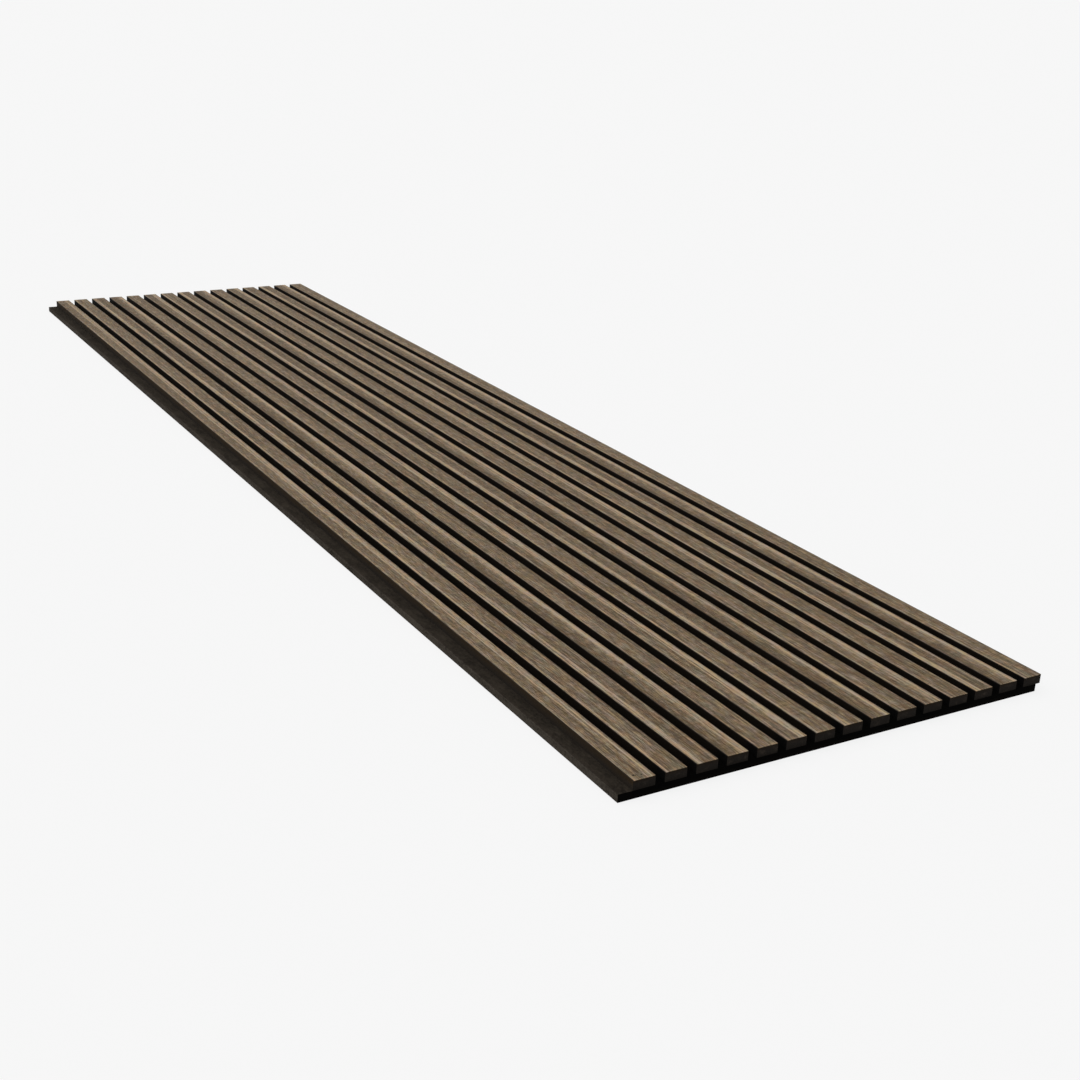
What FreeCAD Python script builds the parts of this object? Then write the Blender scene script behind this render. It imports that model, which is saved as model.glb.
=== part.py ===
import FreeCAD, Part
import os

# Acoustic slat wall panel, lying face up as it is made and packed.
# A dark felt board carries a row of slats that run its whole length. Each slat is a ripped
# strip of black fibreboard with a wood veneer glued to its face, and it is held to the felt
# by rows of wire staples driven from the back.
# The row of slats is shifted sideways on the felt. The last slat hangs over one long edge,
# and the other edge is a bare felt lap, so that the next panel carries the pattern on.
#
# Sizes are in millimetres. X runs across the slats, from the lap to the overhang, Y runs
# along them, and Z points out of the wall. The origin is the middle of the felt's back face.

# Slats
SLAT_COUNT = 15
SLAT_WIDTH = 28.0
SLAT_GAP = 12.0
PANEL_LENGTH = 2400.0
CORE_THICKNESS = 11.4
VENEER_THICKNESS = 0.6
VENEER_ARRIS = 0.45

# Felt
FELT_THICKNESS = 10.0
SLAT_OVERHANG = 6.0

# Staples
STAPLE_ROW_PITCH = 400.0
STAPLE_END_MARGIN = 150.0
STAPLE_CROWN = 12.8
STAPLE_WIRE_WIDTH = 0.95
STAPLE_WIRE_THICKNESS = 0.65
STAPLE_BITE = 8.0
STAPLE_POINT = 0.9
STAPLE_SINK = 0.2

# What follows from them
SLAT_PITCH = SLAT_WIDTH + SLAT_GAP
FELT_WIDTH = SLAT_COUNT * SLAT_PITCH
LAP_WIDTH = SLAT_GAP + SLAT_OVERHANG
FIRST_SLAT_LEFT = -FELT_WIDTH / 2 + LAP_WIDTH
NEAR_END = -PANEL_LENGTH / 2

PARTS_FOLDER = "parts"
VECTOR = FreeCAD.Vector


def slat_left(index):
    """The X of a slat's left side."""
    return FIRST_SLAT_LEFT + index * SLAT_PITCH


def staple_middle(index):
    """The X of a slat's row of staples: the middle of the width that the felt backs."""
    right = min(slat_left(index) + SLAT_WIDTH, FELT_WIDTH / 2)
    return (slat_left(index) + right) / 2


def staple_rows():
    """The Y of each row of staples, evenly spaced about the middle of the panel."""
    room = PANEL_LENGTH - 2 * STAPLE_END_MARGIN
    count = int(room // STAPLE_ROW_PITCH) + 1
    first = -(count - 1) * STAPLE_ROW_PITCH / 2
    return [first + row * STAPLE_ROW_PITCH for row in range(count)]


def polyline_face(points, y):
    """A flat face at one Y, from (x, z) corners."""
    corners = [VECTOR(x, y, z) for x, z in points]
    return Part.Face(Part.makePolygon(corners + corners[:1]))


def felt_blank():
    """The felt board before the staples pierce it."""
    corner = VECTOR(-FELT_WIDTH / 2, NEAR_END, 0)
    return Part.makeBox(FELT_WIDTH, PANEL_LENGTH, FELT_THICKNESS, corner)


def core_blank(index):
    """One fibreboard slat before the staples pierce it."""
    corner = VECTOR(slat_left(index), NEAR_END, FELT_THICKNESS)
    return Part.makeBox(SLAT_WIDTH, PANEL_LENGTH, CORE_THICKNESS, corner)


def veneer_face(index):
    """The veneer on one slat: a thin strip whose two long top edges are sanded round."""
    arris = min(VENEER_ARRIS, 0.9 * VENEER_THICKNESS, 0.4 * SLAT_WIDTH)
    low = FELT_THICKNESS + CORE_THICKNESS
    high = low + VENEER_THICKNESS
    left = slat_left(index)
    right = left + SLAT_WIDTH
    bend = arris * (1 - 0.5 ** 0.5)

    def at(x, z):
        return VECTOR(x, NEAR_END, z)

    right_round = Part.Arc(
        at(right, high - arris), at(right - bend, high - bend), at(right - arris, high)
    )
    left_round = Part.Arc(
        at(left + arris, high), at(left + bend, high - bend), at(left, high - arris)
    )
    outline = Part.Wire([
        Part.LineSegment(at(left, low), at(right, low)).toShape(),
        Part.LineSegment(at(right, low), at(right, high - arris)).toShape(),
        right_round.toShape(),
        Part.LineSegment(at(right - arris, high), at(left + arris, high)).toShape(),
        left_round.toShape(),
        Part.LineSegment(at(left, high - arris), at(left, low)).toShape(),
    ])
    return Part.Face(outline).extrude(VECTOR(0, PANEL_LENGTH, 0))


def staple(x, y):
    """One staple: a flat-wire crown across the slat, and two legs with slanted points."""
    back = STAPLE_SINK
    tip = FELT_THICKNESS + STAPLE_BITE
    heel = tip - STAPLE_POINT
    half = STAPLE_CROWN / 2
    wire = STAPLE_WIRE_THICKNESS
    outline = [
        (x - half, back),
        (x + half, back),
        (x + half, tip),
        (x + half - wire, heel),
        (x + half - wire, back + wire),
        (x - half + wire, back + wire),
        (x - half + wire, heel),
        (x - half, tip),
    ]
    start = y - STAPLE_WIRE_WIDTH / 2
    return polyline_face(outline, start).extrude(VECTOR(0, STAPLE_WIRE_WIDTH, 0))


def crown_dent(x, y):
    """The dent that a sunk crown leaves in the back of the felt."""
    corner = VECTOR(x - STAPLE_CROWN / 2, y - STAPLE_WIRE_WIDTH / 2, 0)
    return Part.makeBox(STAPLE_CROWN, STAPLE_WIRE_WIDTH, STAPLE_SINK, corner)


def save(shape, node):
    """Writes one node's STEP file."""
    shape.exportStep(os.path.join(PARTS_FOLDER, node + ".step"))


def main():
    os.makedirs(PARTS_FOLDER, exist_ok=True)
    rows = staple_rows()
    all_staples = []
    dents = []
    for index in range(SLAT_COUNT):
        own = [staple(staple_middle(index), y) for y in rows]
        dents += [crown_dent(staple_middle(index), y) for y in rows]
        all_staples += own
        number = f"{index + 1:02d}"
        save(core_blank(index).cut(own), "slat_core_" + number)
        save(veneer_face(index), "veneer_face_" + number)
    save(felt_blank().cut(all_staples + dents), "felt_backing")
    save(Part.makeCompound(all_staples), "staples")


main()
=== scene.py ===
import math

import bmesh
import bpy
from mathutils import Matrix, Vector


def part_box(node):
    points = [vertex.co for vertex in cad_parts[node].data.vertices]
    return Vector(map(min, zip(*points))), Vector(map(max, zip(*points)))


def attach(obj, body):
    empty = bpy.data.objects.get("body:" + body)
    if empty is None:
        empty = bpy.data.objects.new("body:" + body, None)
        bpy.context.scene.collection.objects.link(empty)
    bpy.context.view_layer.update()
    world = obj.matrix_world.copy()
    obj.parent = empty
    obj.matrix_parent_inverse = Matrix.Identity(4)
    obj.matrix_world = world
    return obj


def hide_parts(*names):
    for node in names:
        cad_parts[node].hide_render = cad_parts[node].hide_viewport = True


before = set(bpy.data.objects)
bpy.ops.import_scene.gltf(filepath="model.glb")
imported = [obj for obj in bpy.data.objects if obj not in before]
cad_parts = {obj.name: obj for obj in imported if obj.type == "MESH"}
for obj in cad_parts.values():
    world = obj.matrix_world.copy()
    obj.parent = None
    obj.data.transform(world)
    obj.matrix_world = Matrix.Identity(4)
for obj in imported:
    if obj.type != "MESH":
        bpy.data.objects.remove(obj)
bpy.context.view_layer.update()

# Acoustic slat wall panel, lying face up on a pale floor.
# Slats of black fibreboard with a smoked walnut veneer stand in a row on a black felt board.
# Lengths are in metres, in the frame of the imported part: X across the slats, from the bare lap
# to the overhanging slat, Y along them, and Z out of the wall.

MM = 0.001

# How close two points are when they count as one, and when they count as level, and the
# digits of a metre that tell one row of staples from the next
WELD = MM / 1000
LEVEL = MM / 100
PLACE_DIGITS = 5

# Slats, read from the frame
FIRST_LOW, FIRST_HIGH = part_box("slat_core_01")
SECOND_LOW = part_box("slat_core_02")[0]
FELT_LOW, FELT_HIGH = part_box("felt_backing")
SLAT_COUNT = sum(name.startswith("slat_core_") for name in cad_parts)
SLAT_PITCH = SECOND_LOW.x - FIRST_LOW.x
SLAT_WIDTH = FIRST_HIGH.x - FIRST_LOW.x
PANEL_HALF_LENGTH = FELT_HIGH.y

# Camera, fitted to the slat edges in the photograph
IMAGE_SIZE = 1080
CAMERA_PLACE = (-1.093, -2.359, 0.823)
CAMERA_TURN = math.radians(30.67)
CAMERA_DOWN = math.radians(20.955)
CAMERA_ROLL = math.radians(2.413)
FOCAL_LENGTH_PX = 1558.0
SENSOR_WIDTH = 36.0

# Light
BACKDROP_WHITE = (0.93, 0.93, 0.93, 1)
ROOM_WHITE = (1, 1, 1, 1)
ROOM_LIGHT = 0.55
SOFTBOX_LIGHT = 1.53
SOFTBOX_SPREAD = math.radians(70)
SOFTBOX_FROM = Vector((-0.45, 0.35, 1.0))
FLOOR_HALF_SIZE = 60.0
FLOOR_LIT = (0.85, 0.85, 0.85, 1)
FLOOR_SHADOW_SHARE = 0.1

# Finishes, as linear colours
WOOD_DEEP = (0.073, 0.047, 0.023, 1)
WOOD_LIGHT = (0.400, 0.303, 0.198, 1)
WOOD_COOL = (0.93, 1.00, 1.13, 1)
WOOD_WARM = (1.07, 0.99, 0.86, 1)
WOOD_OLIVE = (0.97, 1.03, 0.97, 1)
WOOD_ROSE = (1.03, 0.97, 1.03, 1)
WOOD_CUT = (0.014, 0.010, 0.007, 1)
WOOD_PIT = (0.008, 0.005, 0.003, 1)
BOARD_DARK = (0.0038, 0.0028, 0.0018, 1)
BOARD_GROOVE_SHADE = (0.0095, 0.0068, 0.0043, 1)
BOARD_MOUTH_SHADE = (0.0010, 0.0010, 0.0011, 1)
BOARD_RAW = (0.0205, 0.0173, 0.0148, 1)
BOARD_SCORCHED = (0.0130, 0.0082, 0.0046, 1)
BOARD_OUTER_LOW = (0.0240, 0.0203, 0.0170, 1)
BOARD_OUTER_HIGH = (0.0285, 0.0182, 0.0090, 1)
BOARD_FLECK = (0.046, 0.036, 0.028, 1)
FELT_DEEP = (0.0115, 0.0095, 0.0075, 1)
FELT_CHARCOAL = (0.038, 0.0308, 0.0235, 1)
FELT_FIBRE = (0.060, 0.050, 0.040, 1)
FELT_LOOSE_AND_LIT = (0.058, 0.0495, 0.040, 1)
FELT_SHADED = (0.0038, 0.0026, 0.0015, 1)
FELT_CUT_END_AND_SHADE = (0.0008, 0.0007, 0.0006, 1)
WIRE_BRIGHT = (0.60, 0.60, 0.58, 1)
WIRE_DULL = (0.34, 0.33, 0.31, 1)

# How light the plain wood is, where 0 is its deep tone and 1 its light one
WOOD_TONE = 0.192

# How far the board's black dye runs in over the veneer from its two sides, in millimetres
VENEER_DYED = 0.85
DYE_FADE = 0.3

# Painted shade: the grooves are darkened to black toward their open ends, between these two
# distances from the end
MOUTH_SHADE_STARTS = 30 * MM
MOUTH_SHADE_FULL = 8 * MM

# The veneer leaves: five slats are ripped from one leaf, and then the order starts again.
# Each light stripe of a leaf has the slat it falls on, the place of its two sides across
# that slat in millimetres, how softly they fade, and how light it is.
SLATS_PER_LEAF = 5
LEAF_STRIPES = (
    (0, 17.2, 31.0, 1.4, 0.65),
    (0, 17.8, 19.4, 0.4, 0.95),
    (0, 22.5, 24.3, 0.4, 0.95),
    (0, 0.6, 3.6, 1.0, 0.55),
    (1, 0.6, 3.8, 0.9, 1.15),
    (2, 1.2, 8.8, 1.2, 1.00),
    (2, 5.4, 7.6, 0.4, 0.45),
    (2, 11.0, 22.0, 2.0, -0.20),
    (2, 23.4, 26.4, 0.9, 0.45),
    (3, 18.6, 31.0, 3.2, 1.00),
    (3, 21.8, 24.6, 0.5, 0.65),
    (3, -3.0, 8.0, 2.5, -0.35),
    (4, 0.6, 3.6, 1.0, 0.55),
    (4, 8.2, 11.8, 1.2, 0.28),
)

# Small pits in the first slat's face: the place across the slat, the place from its near end
# and the radius, in millimetres.
VENEER_PITS = ((6.2, 9.7, 1.7), (8.4, 8.6, 1.0), (15.0, 7.6, 1.3))

# Felt board. Its dimples reach this far beyond a staple's crown, across the slats and along.
FELT_ROUND = 0.6 * MM
DIMPLE_DEPTH = 0.55 * MM
DIMPLE_REACH = (5.0 * MM, 6.0 * MM)
DIMPLE_STEPS = 3

# Staples
WIRE_THICKNESS = 0.65 * MM
WIRE_BEND = 0.6 * MM
STAPLE_POINT = 0.9 * MM

# Sockets of the Mix node when it mixes colours
MIX_AMOUNT, MIX_FIRST, MIX_SECOND, MIX_RESULT = 0, 6, 7, 2


class Value:
    """One socket of a node tree. Python's operators on it add Math nodes."""

    def __init__(self, tree, socket):
        self.tree = tree
        self.socket = socket

    def math(self, operation, *values):
        return self.tree.node("ShaderNodeMath", {"operation": operation}, dict(enumerate(values)))

    def __add__(self, other):
        return self.math("ADD", self, other)

    def __radd__(self, other):
        return self.math("ADD", other, self)

    def __sub__(self, other):
        return self.math("SUBTRACT", self, other)

    def __rsub__(self, other):
        return self.math("SUBTRACT", other, self)

    def __mul__(self, other):
        return self.math("MULTIPLY", self, other)

    def __rmul__(self, other):
        return self.math("MULTIPLY", other, self)

    def __truediv__(self, other):
        return self.math("DIVIDE", self, other)

    def __mod__(self, other):
        return self.math("MODULO", self, other)

    def __abs__(self):
        return self.math("ABSOLUTE", self)

    def floor(self):
        return self.math("FLOOR", self)

    def is_about(self, number):
        """1 where the value is within a half of the number, else 0."""
        return self.math("COMPARE", self, number, 0.5)

    def rise(self, low, high):
        """A smooth step from 0 at low to 1 at high."""
        ends = {"Value": self, "From Min": low, "From Max": high}
        return self.tree.node("ShaderNodeMapRange", {"interpolation_type": "SMOOTHSTEP"}, ends)


class Tree:
    """A node tree that starts empty, and the one method that adds nodes to it."""

    def __init__(self, owner):
        owner.use_nodes = True
        self.nodes = owner.node_tree.nodes
        self.links = owner.node_tree.links
        self.nodes.clear()

    def node(self, kind, settings=None, sockets=None, output=0):
        """Adds a node: first its settings, then the values or links of its sockets."""
        made = self.nodes.new(kind)
        for name, setting in (settings or {}).items():
            setattr(made, name, setting)
        for name, value in (sockets or {}).items():
            self.feed(made.inputs[name], value)
        return Value(self, made.outputs[output]) if made.outputs else made

    def feed(self, socket, value):
        if isinstance(value, Value):
            self.links.new(value.socket, socket)
        else:
            socket.default_value = value

    def mix(self, amount, first, second, blend="MIX"):
        """A colour between two others."""
        settings = {"data_type": "RGBA", "blend_type": blend}
        sockets = {MIX_AMOUNT: amount, MIX_FIRST: first, MIX_SECOND: second}
        return self.node("ShaderNodeMix", settings, sockets, MIX_RESULT)

    def vector(self, x, y, z):
        return self.node("ShaderNodeCombineXYZ", {}, {"X": x, "Y": y, "Z": z})

    def noise(self, place, detail=2.0, roughness=0.5):
        """Cloudy noise about 0.5, with features about one unit across."""
        sockets = {"Vector": place, "Scale": 1.0, "Detail": detail, "Roughness": roughness}
        return self.node("ShaderNodeTexNoise", {"noise_dimensions": "3D"}, sockets)


class Finish(Tree):
    """A material with one Principled shader, whose patterns read object coordinates."""

    def __init__(self, name, **constants):
        self.material = bpy.data.materials.new(name)
        super().__init__(self.material)
        self.shader = self.nodes.new("ShaderNodeBsdfPrincipled")
        output = self.nodes.new("ShaderNodeOutputMaterial")
        self.links.new(self.shader.outputs["BSDF"], output.inputs["Surface"])
        for socket, value in constants.items():
            self.shader.inputs[socket.replace("_", " ")].default_value = value

    def place(self):
        """The X, Y and Z of each point, in metres."""
        coordinates = self.node("ShaderNodeTexCoord", {}, {}, "Object")
        return [
            self.node("ShaderNodeSeparateXYZ", {}, {"Vector": coordinates}, axis)
            for axis in "XYZ"
        ]

    def paint(self, socket, value):
        """Feeds a changing value to one of the shader's sockets."""
        self.feed(self.shader.inputs[socket], value)

    def relief(self, height, depth):
        """Raises the surface where the height is 1, by a depth in metres."""
        sockets = {"Strength": 1.0, "Distance": depth, "Height": height}
        self.paint("Normal", self.node("ShaderNodeBump", {}, sockets))


def near_end(y, starts, full):
    """0 along the panel, and rising to 1 at its ends between these distances from an end."""
    return (abs(y) - PANEL_HALF_LENGTH).rise(-starts, -full)


def light_stripes(grain, slat):
    """How light the stripes of each slat's leaf are, and 0 on the plain wood."""
    leaf = slat % SLATS_PER_LEAF
    stripes = 0.0
    for number, left, right, fade, light in LEAF_STRIPES:
        from_left = grain.rise(left - fade, left + fade)
        past_right = grain.rise(right - fade, right + fade)
        stripe = from_left * (1.0 - past_right)
        stripes = stripes + stripe * leaf.is_about(number) * light
    return stripes


def with_pits(wood, colour, slat, across, along):
    """The colour again, with the small pits in the first slat's face."""
    from_near_end = along + PANEL_HALF_LENGTH / MM
    for pit_across, pit_along, radius in VENEER_PITS:
        aside = across - pit_across
        ahead = from_near_end - pit_along
        pit = 1.0 - (aside * aside + ahead * ahead).rise(0.5 * radius * radius, radius * radius)
        colour = wood.mix(pit * slat.is_about(0), colour, WOOD_PIT)
    return colour


def veneer_finish():
    """Smoked walnut veneer: straight grain with light stripes, fine pores, and dyed edges."""
    wood = Finish("smoked_walnut_veneer", Specular_IOR_Level=0.12)
    x, y = wood.place()[:2]
    margin = 0.5 * (SLAT_PITCH - SLAT_WIDTH)
    row = (x - FIRST_LOW.x + margin) / SLAT_PITCH
    slat = row.floor()
    across = ((row - slat) * SLAT_PITCH - margin) / MM
    along = y / MM

    # The grain wanders a little sideways along the slat, and each slat has its own.
    bend = wood.noise(wood.vector(slat * 7.3, along / 420, 0.0), 1.0) - 0.5
    ripple = wood.noise(wood.vector(across / 9, along / 75, slat * 3.1), 1.0) - 0.5
    grain = across + bend * 1.5 + ripple * 0.15

    def lines(width, length, seed, detail=2.0, roughness=0.5):
        """Grain lines about 0, of about this width and length in millimetres."""
        where = wood.vector(grain / width, along / length, slat * 5.7 + seed)
        return wood.noise(where, detail, roughness) - 0.5

    # From broad to fine along the grain, and then the clouds and the curl that cross it
    figure = lines(8.0, 420, 1.0)
    streaks = lines(2.4, 420, 2.0)
    threads = lines(1.2, 320, 3.0, 1.0)
    dashes = lines(0.8, 9.0, 4.0, 1.0)
    fibres = lines(0.4, 22, 5.0, 1.0)
    pores = lines(0.32, 6.0, 6.0, 0.0).rise(0.12, 0.24)
    clouds = wood.noise(wood.vector(grain / 12, along / 38, slat * 2.3 + 6.0), 2.0) - 0.5
    curl = wood.noise(wood.vector(across / 18 + along / 60, along / 3.6, slat * 4.9), 1.0) - 0.5
    gold = threads.rise(0.02, 0.16)
    stripes = light_stripes(grain, slat)
    # Painted highlight: the wood is lighter within about 2 mm of each end, along the end edges.
    end_highlight = near_end(y, 2.2 * MM, 1.0 * MM)

    lightness = (
        WOOD_TONE
        + stripes * (0.44 + 0.8 * threads + 0.20 * gold + 0.2 * streaks)
        + figure * 0.32
        + streaks * 0.20
        + threads * 0.95
        + dashes * 0.90
        + fibres * 2.6
        + clouds * 0.15
        + curl * 0.45
        + end_highlight * 0.18
        - pores * 0.25
    )
    colour = wood.mix(lightness, WOOD_DEEP, WOOD_LIGHT)

    # The smoke took unevenly, so the brown is redder, greener or greyer in small patches.
    warmth = lines(5.0, 16, 7.0).rise(-0.16, 0.16)
    colour = wood.mix(1.0, colour, wood.mix(warmth, WOOD_COOL, WOOD_WARM), "MULTIPLY")
    redness = lines(5.0, 20, 8.0).rise(-0.16, 0.16)
    colour = wood.mix(1.0, colour, wood.mix(redness, WOOD_OLIVE, WOOD_ROSE), "MULTIPLY")

    colour = with_pits(wood, colour, slat, across, along)

    # The black dye of the board's sides runs up the cut sides and over the rounded edges.
    inward = 0.5 * SLAT_WIDTH / MM - abs(across - 0.5 * SLAT_WIDTH / MM)
    undyed = inward.rise(VENEER_DYED - DYE_FADE, VENEER_DYED + DYE_FADE)
    colour = wood.mix(undyed, WOOD_CUT, colour)
    wood.paint("Base Color", colour)
    wood.paint("Roughness", 0.64 + fibres * 0.3 + pores * 0.12)
    wood.relief(fibres * 0.5 - pores * 0.6 + threads * 0.3, 0.05 * MM)
    return wood.material


def board_finish():
    """Black-dyed fibreboard: sides with saw lines and painted shade in the grooves, and raw ends
    with a looser middle.
    """
    board = Finish("black_fibreboard", Specular_IOR_Level=0.05)
    x, y, z = board.place()
    matting = board.noise(board.vector(x / (0.8 * MM), y / (0.8 * MM), z / (0.5 * MM)), 3.0, 0.6)
    fleck = board.noise(board.vector(x / (0.6 * MM), y / (1.6 * MM), z / (0.6 * MM)), 1.0)
    saw = board.noise(board.vector(x / (40 * MM), y / (3.0 * MM), z / (0.7 * MM)), 2.0)
    patches = board.noise(board.vector(x / (7 * MM), y / (45 * MM), z / (5 * MM)), 2.0)
    end = near_end(y, 0.06 * MM, 0.012 * MM)
    outer = 1.0 - (x - FIRST_LOW.x).rise(0.2 * MM, 0.4 * MM)
    height = (z - FIRST_LOW.z) / (FIRST_HIGH.z - FIRST_LOW.z)
    core = 1.0 - abs(height * 2.0 - 1.0).rise(0.4, 1.0)

    # The raw ends are looser in the middle, darkest low down with painted shade toward the felt, and
    # scorched near the top.
    raw = board.mix(matting.rise(0.3, 0.7), BOARD_DARK, BOARD_RAW)
    loose = (matting * 0.5 + patches * 0.5).rise(0.5, 0.68) * (0.3 + 0.4 * core)
    raw = board.mix(loose, raw, BOARD_FLECK)
    # Painted shade: darker toward the bottom of the ends
    raw = board.mix((1.0 - height.rise(-0.5, 0.6)) * 0.85, raw, BOARD_DARK)
    raw = board.mix(height.rise(0.55, 1.0) * 0.8, raw, BOARD_SCORCHED)

    # Painted shade: the sides in the grooves are darker, and black toward the grooves' open ends.
    # The first slat's outer side, out of the grooves, is paler, and browner toward its top.
    rough_saw = matting * 0.5 + saw * 0.5
    shaded_groove_side = board.mix(rough_saw.rise(0.3, 0.7), BOARD_DARK, BOARD_GROOVE_SHADE)
    # Painted shade at the grooves' open ends
    shaded_groove_side = board.mix(near_end(y, MOUTH_SHADE_STARTS, MOUTH_SHADE_FULL) * 0.9, shaded_groove_side, BOARD_MOUTH_SHADE)
    browner = height + (patches - 0.5) * 0.8 + (saw - 0.5) * 0.6
    brown = board.mix(browner, BOARD_OUTER_LOW, BOARD_OUTER_HIGH)
    brown = board.mix(rough_saw.rise(0.45, 0.7) * 0.5, brown, BOARD_DARK)

    colour = board.mix(outer, shaded_groove_side, brown)
    colour = board.mix(end, colour, raw)
    colour = board.mix(fleck.rise(0.66, 0.8) * end * 0.5, colour, BOARD_FLECK)
    board.paint("Base Color", colour)
    board.paint("Roughness", 0.8 + (matting - 0.5) * 0.3)
    board.relief(matting + saw * (1.0 - end), 0.12 * MM)
    return board.material


def felt_finish():
    """Needled polyester felt: short crossed fibres, soft mottle, and darker cut ends."""
    felt = Finish("black_felt", Specular_IOR_Level=0.02)
    x, y, z = felt.place()

    # The two slanting directions that the fibres cross in
    slant = x + y
    other_slant = x - y

    def noise(a, a_size, b, b_size, z_size, detail=2.0):
        """Noise stretched to these sizes in millimetres along two directions and Z."""
        where = felt.vector(a / (a_size * MM), b / (b_size * MM), z / (z_size * MM))
        return felt.noise(where, detail, 0.6)

    one_way = noise(slant, 6.0, other_slant, 0.6, 0.6)
    other_way = noise(slant, 0.6, other_slant, 6.0, 0.6)
    lengthwise = noise(x, 0.8, y, 12.0, 0.8)
    mottle = noise(x, 14.0, y, 38.0, 12.0, 3.0)
    lumps = noise(x, 3.0, y, 4.0, 3.0)
    fibres = one_way * 0.35 + other_way * 0.35 + lengthwise * 0.3
    tone = (fibres - 0.5) * 2.6 + (mottle - 0.5) * 1.5 + (lumps - 0.5) * 1.2 + 0.5
    colour = felt.mix(tone, FELT_DEEP, FELT_CHARCOAL)
    colour = felt.mix(fibres.rise(0.54, 0.68) * 0.35, colour, FELT_FIBRE)

    # The long sides are a little paler, partly loose fibre and partly painted light.
    side = (abs(x) - FELT_HIGH.x).rise(-0.6 * MM, -0.1 * MM)
    loose = 0.6 + (fibres - 0.5) * 3.0 + (lumps - 0.5) * 2.0 + (mottle - 0.5) * 1.5
    colour = felt.mix(side * loose, colour, FELT_LOOSE_AND_LIT)

    # Painted shade: the felt is darkened in the grooves and darkest at their open ends; its own cut
    # ends are darkest too.
    groove = (x - FIRST_LOW.x).rise(0.0, 2 * MM) * (z - 0.5 * FELT_HIGH.z).rise(0.0, MM)
    colour = felt.mix(groove * 0.96, colour, FELT_SHADED)
    end = near_end(y, 0.48 * MM, 0.24 * MM)
    # Painted shade at the grooves' open ends
    mouth_shade = groove * near_end(y, MOUTH_SHADE_STARTS, MOUTH_SHADE_FULL)
    colour = felt.mix((end + mouth_shade) * 0.96, colour, FELT_CUT_END_AND_SHADE)
    felt.paint("Base Color", colour)
    felt.paint("Roughness", 0.9 + (fibres - 0.5) * 0.15)
    felt.relief(fibres + lumps * 0.6, 0.25 * MM)
    return felt.material


def wire_finish():
    """Galvanised flat wire, with fine drawing lines and a dull bloom."""
    wire = Finish("galvanised_wire", Metallic=1.0)
    x, y, z = wire.place()
    drawn = wire.noise(wire.vector(x / (2.5 * MM), y / (0.08 * MM), z / (2.5 * MM)), 2.0)
    bloom = wire.noise(wire.vector(x / (1.2 * MM), y / (1.2 * MM), z / (1.2 * MM)), 3.0)
    wire.paint("Base Color", wire.mix(bloom.rise(0.35, 0.7), WIRE_BRIGHT, WIRE_DULL))
    wire.paint("Roughness", 0.3 + bloom * 0.2 + drawn * 0.1)
    return wire.material


def finish_node(name, material):
    """Gives a CAD node's object another material."""
    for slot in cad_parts[name].material_slots:
        slot.material = material


def finished_piece(mesh, name, material, replaced):
    """Makes a bmesh a piece of the panel that stands for a CAD node."""
    data = bpy.data.meshes.new(name)
    mesh.to_mesh(data)
    mesh.free()
    data.materials.append(material)
    piece = bpy.data.objects.new(name, data)
    bpy.context.collection.objects.link(piece)
    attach(piece, "root")
    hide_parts(replaced)
    return piece


def stretched_cube(low, high):
    """A bmesh box between two corners."""
    mesh = bmesh.new()
    bmesh.ops.create_cube(mesh, size=1.0)
    bmesh.ops.scale(mesh, vec=high - low, verts=mesh.verts)
    bmesh.ops.translate(mesh, vec=(low + high) / 2, verts=mesh.verts)
    return mesh


def cut_across(mesh, places, axis):
    """Cuts a bmesh through at each place along an axis, so that it can be shaped there."""
    normal = Vector((0, 0, 0))
    normal[axis] = 1
    for place in places:
        everything = mesh.verts[:] + mesh.edges[:] + mesh.faces[:]
        bmesh.ops.bisect_plane(
            mesh, geom=everything, dist=WELD, plane_co=normal * place, plane_no=normal
        )


def staple_boxes():
    """The lowest and highest corner of each staple in the frame's group, in one fixed order."""
    group = bmesh.new()
    group.from_mesh(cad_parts["staples"].data)
    bmesh.ops.remove_doubles(group, verts=group.verts, dist=WELD)
    boxes = []
    unreached = set(group.verts)
    while unreached:
        reached = [unreached.pop()]
        for vertex in reached:
            near = {edge.other_vert(vertex) for edge in vertex.link_edges} & unreached
            unreached -= near
            reached.extend(near)
        places = [vertex.co for vertex in reached]
        boxes.append((
            Vector(min(place[axis] for place in places) for axis in range(3)),
            Vector(max(place[axis] for place in places) for axis in range(3)),
        ))
    group.free()
    return sorted(boxes, key=lambda box: tuple(box[0]))


def staple_spans(boxes, axis):
    """Where the rows of staples lie along one axis: the start and end of each, in order."""
    rounded = {
        (round(low[axis], PLACE_DIGITS), round(high[axis], PLACE_DIGITS)) for low, high in boxes
    }
    return sorted(rounded)


def bent_staple(low, high):
    """One staple: a crown, two legs with slanted points, and a bend at each corner."""
    staple = stretched_cube(low, Vector((high.x, high.y, low.z + WIRE_THICKNESS)))
    inner = (low.x + WIRE_THICKNESS, high.x - WIRE_THICKNESS)
    cut_across(staple, inner, 0)

    def between_legs(vertex):
        """Whether a vertex lies on or between the inner sides of the two legs."""
        return inner[0] - LEVEL < vertex.co.x < inner[1] + LEVEL

    feet = [
        face for face in staple.faces
        if face.normal.z > 0.9 and not inner[0] < face.calc_center_median().x < inner[1]
    ]
    legs = bmesh.ops.extrude_discrete_faces(staple, faces=feet)["faces"]
    tips = {vertex for face in legs for vertex in face.verts}
    for vertex in tips:
        vertex.co.z = high.z - STAPLE_POINT * between_legs(vertex)
    corners = [
        edge for edge in staple.edges
        if all(v.co.z < low.z + LEVEL and not between_legs(v) for v in edge.verts)
        and abs(edge.verts[0].co.y - edge.verts[1].co.y) > LEVEL
    ]
    bmesh.ops.bevel(
        staple, geom=corners, offset=WIRE_BEND, segments=3, profile=0.5, affect="EDGES", material=-1
    )
    return staple


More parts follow.
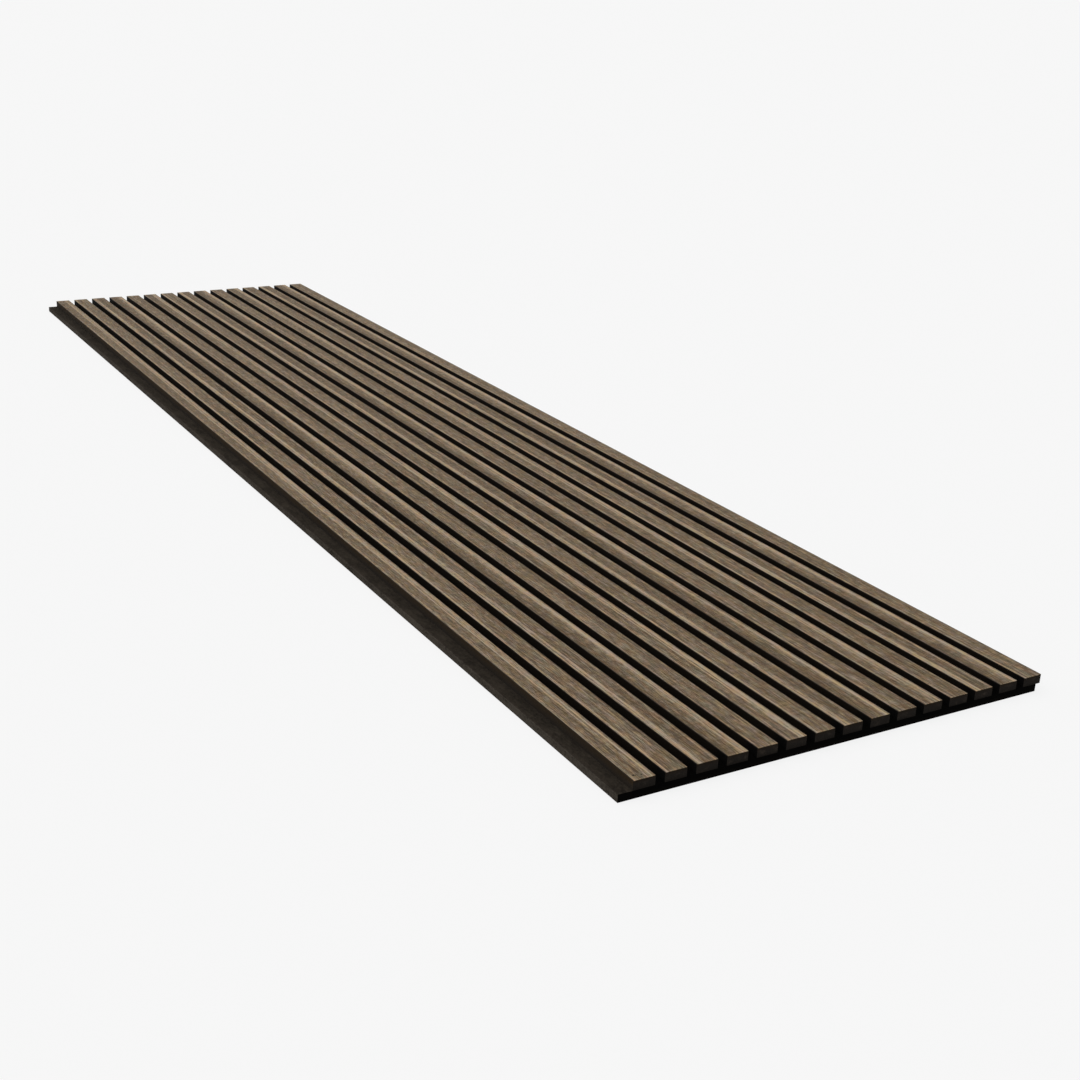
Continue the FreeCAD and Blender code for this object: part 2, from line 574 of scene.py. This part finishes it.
def make_staples(boxes, material):
    """All the staples as one piece."""
    group = bmesh.new()
    for low, high in boxes:
        staple = bent_staple(low, high)
        shaped = bpy.data.meshes.new("one_staple")
        staple.to_mesh(shaped)
        staple.free()
        group.from_mesh(shaped)
        bpy.data.meshes.remove(shaped)
    return finished_piece(group, "bent_staples", material, "staples")


def make_felt_board(boxes, material):
    """The felt board, with soft edges and a shallow dimple where each staple pulls it in."""
    board = stretched_cube(FELT_LOW, FELT_HIGH)
    bmesh.ops.bevel(
        board, geom=board.edges[:], offset=FELT_ROUND, segments=2, profile=0.5,
        affect="EDGES", material=-1,
    )
    crowns = [staple_spans(boxes, axis) for axis in (0, 1)]
    for axis in (1, 0):
        steps = [DIMPLE_REACH[axis] * step / DIMPLE_STEPS for step in range(DIMPLE_STEPS + 1)]
        for low, high in crowns[axis]:
            cuts = [low - step for step in steps] + [high + step for step in steps]
            inside = [cut for cut in cuts if FELT_LOW[axis] < cut < FELT_HIGH[axis] - FELT_ROUND]
            cut_across(board, inside, axis)

    def closeness(place, axis):
        """Along an axis, 1 at a staple's crown, and falling smoothly to 0 at the reach beyond it."""
        gap = min(max(low - place[axis], place[axis] - high, 0.0) for low, high in crowns[axis])
        share = max(0.0, 1.0 - gap / DIMPLE_REACH[axis])
        return share * share * (3 - 2 * share)

    for vertex in board.verts:
        if vertex.co.z < FELT_LOW.z + LEVEL:
            vertex.co.z += DIMPLE_DEPTH * closeness(vertex.co, 0) * closeness(vertex.co, 1)
    return finished_piece(board, "felt_board", material, "felt_backing")


def make_floor():
    """A pale floor that keeps a soft shadow, and shows the camera one even white."""
    mesh = bmesh.new()
    bmesh.ops.create_grid(mesh, x_segments=1, y_segments=1, size=FLOOR_HALF_SIZE)
    data = bpy.data.meshes.new("floor")
    mesh.to_mesh(data)
    mesh.free()
    floor = bpy.data.objects.new("floor", data)
    bpy.context.collection.objects.link(floor)
    paper = bpy.data.materials.new("floor_paper")
    tree = Tree(paper)
    lit = tree.node("ShaderNodeBsdfDiffuse", {}, {"Color": FLOOR_LIT})
    seen_lit = tree.node("ShaderNodeBsdfDiffuse", {}, {"Color": BACKDROP_WHITE})
    even = tree.node("ShaderNodeEmission", {}, {"Color": BACKDROP_WHITE, "Strength": 1.0})
    seen = tree.node("ShaderNodeMixShader", {}, {0: FLOOR_SHADOW_SHARE, 1: even, 2: seen_lit})
    surface = tree.node("ShaderNodeMixShader", {}, {0: seen_directly(tree), 1: lit, 2: seen})
    tree.node("ShaderNodeOutputMaterial", {}, {"Surface": surface})
    data.materials.append(paper)


def seen_directly(tree):
    """1 for rays from the camera, a gloss or a glass, and 0 for rays that carry light."""
    camera, gloss, glass = (
        tree.node("ShaderNodeLightPath", {}, {}, output)
        for output in ("Is Camera Ray", "Is Glossy Ray", "Is Transmission Ray")
    )
    return camera.math("MAXIMUM", camera, gloss.math("MAXIMUM", gloss, glass))


def make_light():
    """Even light from the whole room, and a wide softbox overhead."""
    world = bpy.data.worlds.new("studio")
    bpy.context.scene.world = world
    tree = Tree(world)
    room = tree.node("ShaderNodeBackground", {}, {"Color": ROOM_WHITE, "Strength": ROOM_LIGHT})
    backdrop = tree.node("ShaderNodeBackground", {}, {"Color": BACKDROP_WHITE, "Strength": 1.0})
    surface = tree.node("ShaderNodeMixShader", {}, {0: seen_directly(tree), 1: room, 2: backdrop})
    tree.node("ShaderNodeOutputWorld", {}, {"Surface": surface})

    softbox = bpy.data.lights.new("softbox", "SUN")
    softbox.energy = SOFTBOX_LIGHT
    softbox.angle = SOFTBOX_SPREAD
    lamp = bpy.data.objects.new("softbox", softbox)
    lamp.rotation_euler = SOFTBOX_FROM.to_track_quat("Z", "Y").to_euler()
    bpy.context.collection.objects.link(lamp)


def make_camera():
    """The photograph's camera."""
    data = bpy.data.cameras.new("camera")
    data.sensor_width = SENSOR_WIDTH
    data.lens = FOCAL_LENGTH_PX / IMAGE_SIZE * SENSOR_WIDTH
    camera = bpy.data.objects.new("camera", data)
    camera.matrix_world = (
        Matrix.Translation(CAMERA_PLACE)
        @ Matrix.Rotation(-CAMERA_TURN, 4, "Z")
        @ Matrix.Rotation(math.pi / 2 - CAMERA_DOWN, 4, "X")
        @ Matrix.Rotation(CAMERA_ROLL, 4, "Z")
    )
    bpy.context.collection.objects.link(camera)
    bpy.context.scene.camera = camera


def main():
    make_camera()
    make_light()
    make_floor()
    veneer = veneer_finish()
    board = board_finish()
    felt = felt_finish()
    for index in range(1, SLAT_COUNT + 1):
        finish_node(f"veneer_face_{index:02d}", veneer)
        finish_node(f"slat_core_{index:02d}", board)
    boxes = staple_boxes()
    make_felt_board(boxes, felt)
    make_staples(boxes, wire_finish())
    bpy.context.scene.view_settings.view_transform = "Standard"


main()
